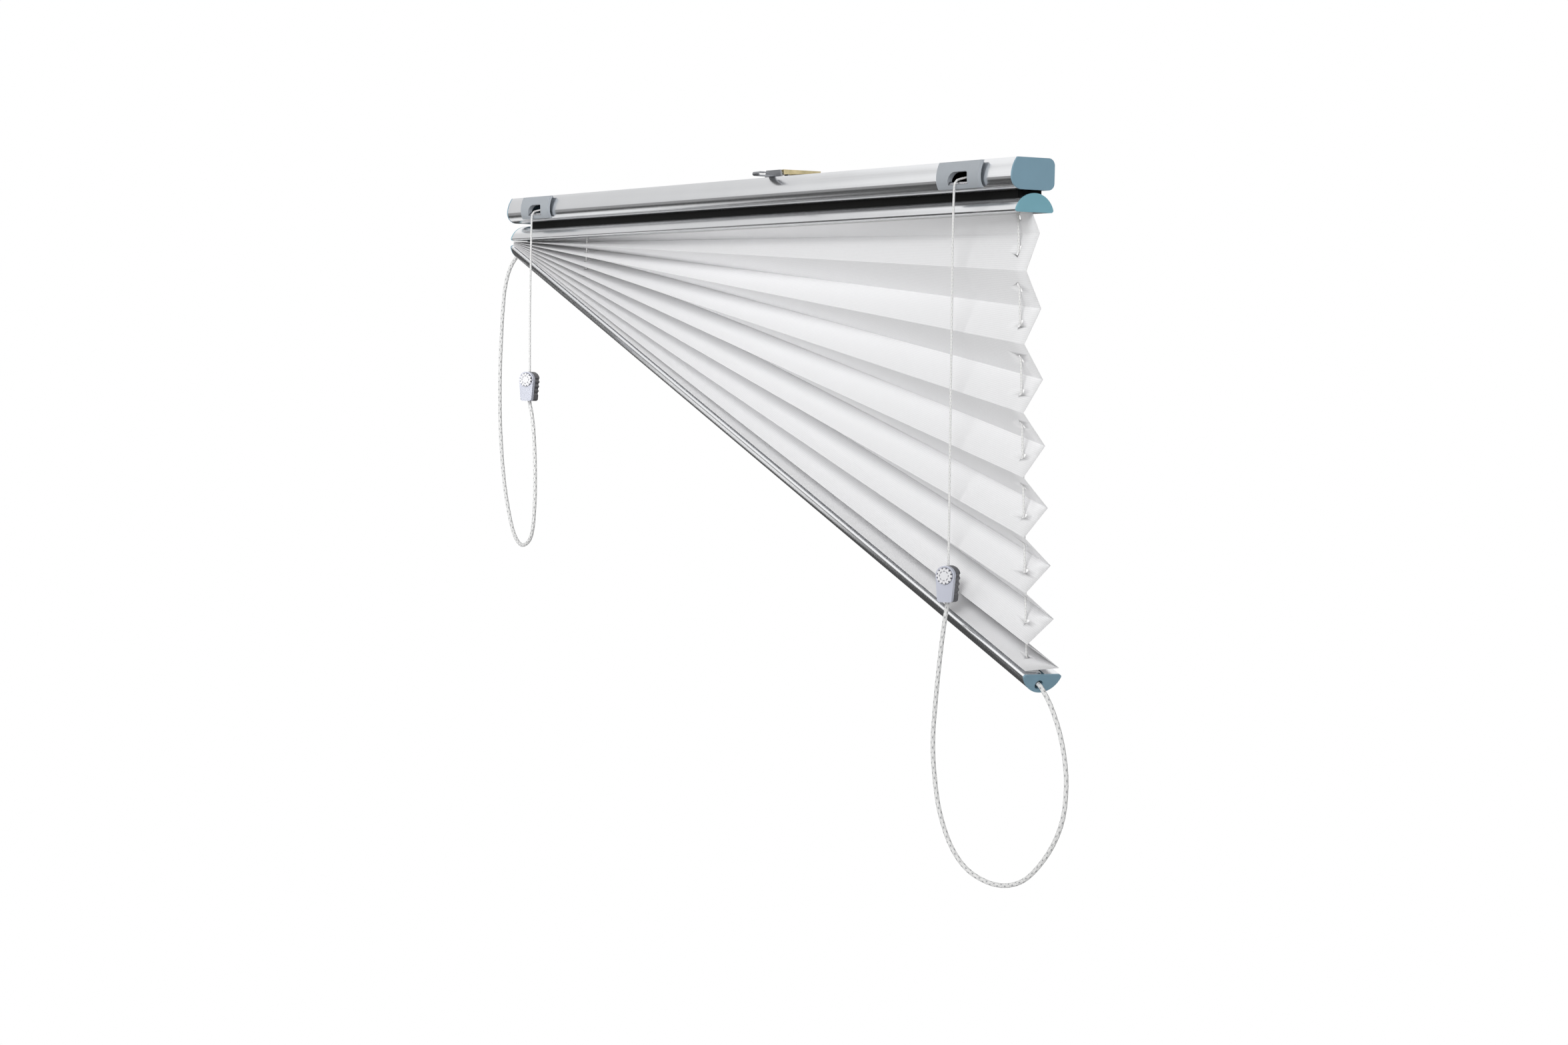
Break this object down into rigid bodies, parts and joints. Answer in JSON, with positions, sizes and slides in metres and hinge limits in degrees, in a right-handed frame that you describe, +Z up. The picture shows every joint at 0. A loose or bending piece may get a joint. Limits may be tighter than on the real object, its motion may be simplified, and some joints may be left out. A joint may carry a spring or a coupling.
{
  "type": "pleated blind",
  "caption": "Pleated window blind that opens as a fan between an upper fabric rail and a swinging lower rail, with head rail, ceiling clip, cord outlets, connectors and loop cords.",
  "frame": {"origin": "centre of the ceiling clip's top face, on the axis of its screw hole", "axes": "+X along the rails to the viewer's right, +Y to the back of the blind, +Z up to the ceiling"},
  "size_m": [0.6666, 0.0402, 0.3679],
  "materials": {
    "aluminium": "satin anodised",
    "cap_plastic": "fine matt",
    "outlet_plastic": "fine matt",
    "black_plastic": "matt",
    "guide_plastic": "matt",
    "fabric": "woven, pleated",
    "cord": "braided",
    "steel": "bright",
    "zinc_plate": "yellow zinc plating",
    "shell_plastic": "semi-gloss",
    "rib_plastic": "matt",
    "button_plastic": "semi-gloss"
  },
  "bodies": {
    "head_assembly": {"head_rail": "aluminium", "upper_rail": "aluminium", "head_cap_left": "cap_plastic", "head_cap_right": "cap_plastic", "upper_cap_left": "cap_plastic", "upper_cap_right": "cap_plastic", "cord_outlet_left": "outlet_plastic", "cord_outlet_right": "outlet_plastic", "rail_carrier": "black_plastic", "rail_hanger_left": "black_plastic", "rail_hanger_right": "black_plastic", "drop_guide_left": "guide_plastic", "drop_guide_right": "guide_plastic", "upper_strip": "guide_plastic", "pleated_fabric": "fabric", "lift_cord_left": "cord", "lift_cord_right": "cord", "pull_cord_left": "cord", "pull_cord_right": "cord", "loop_cord_left": "cord", "loop_cord_right": "cord", "outlet_pin_left": "steel", "outlet_pin_right": "steel", "connector_spring_left": "steel", "connector_spring_right": "steel", "clip_spring": "steel", "clip_rivets": "steel", "clip_plate": "zinc_plate", "connector_front_left": "shell_plastic", "connector_front_right": "shell_plastic", "connector_rear_left": "rib_plastic", "connector_rear_right": "rib_plastic"},
    "lower_assembly": {"lower_rail": "aluminium", "lower_cap_left": "cap_plastic", "lower_cap_right": "cap_plastic", "lower_strip": "guide_plastic", "loop_anchor_left": "steel", "loop_anchor_right": "steel", "lift_anchor_left": "steel", "lift_anchor_right": "steel"},
    "roller_left": {"outlet_roller_left": "steel"},
    "button_left": {"connector_button_left": "button_plastic"},
    "roller_right": {"outlet_roller_right": "steel"},
    "button_right": {"connector_button_right": "button_plastic"}
  },
  "joints": [
    {"name": "fan_swing", "type": "hinge", "parent": "head_assembly", "child": "lower_assembly", "pos_m": [-0.348, 0, -0.0345], "axis": [0, -1, 0], "range_deg": [0, 20], "deforming": ["pleated_fabric", "lift_cord_left", "lift_cord_right", "loop_cord_left", "loop_cord_right"]},
    {"name": "roller_spin_left", "type": "hinge", "parent": "head_assembly", "child": "roller_left", "pos_m": [-0.302, -0.0144, -0.016], "axis": [1, 0, 0], "continuous": true},
    {"name": "roller_spin_right", "type": "hinge", "parent": "head_assembly", "child": "roller_right", "pos_m": [0.206, -0.0144, -0.016], "axis": [1, 0, 0], "continuous": true},
    {"name": "button_press_left", "type": "slide", "parent": "head_assembly", "child": "button_left", "axis": [-0.5878, 0.809, 0], "range_m": [0, 0.0008], "stiffness_N_per_m": 300, "springref_m": -0.001, "deforming": ["connector_spring_left"]},
    {"name": "button_press_right", "type": "slide", "parent": "head_assembly", "child": "button_right", "axis": [-0.5878, 0.809, 0], "range_m": [0, 0.0008], "stiffness_N_per_m": 300, "springref_m": -0.001, "deforming": ["connector_spring_right"]}
  ]
}
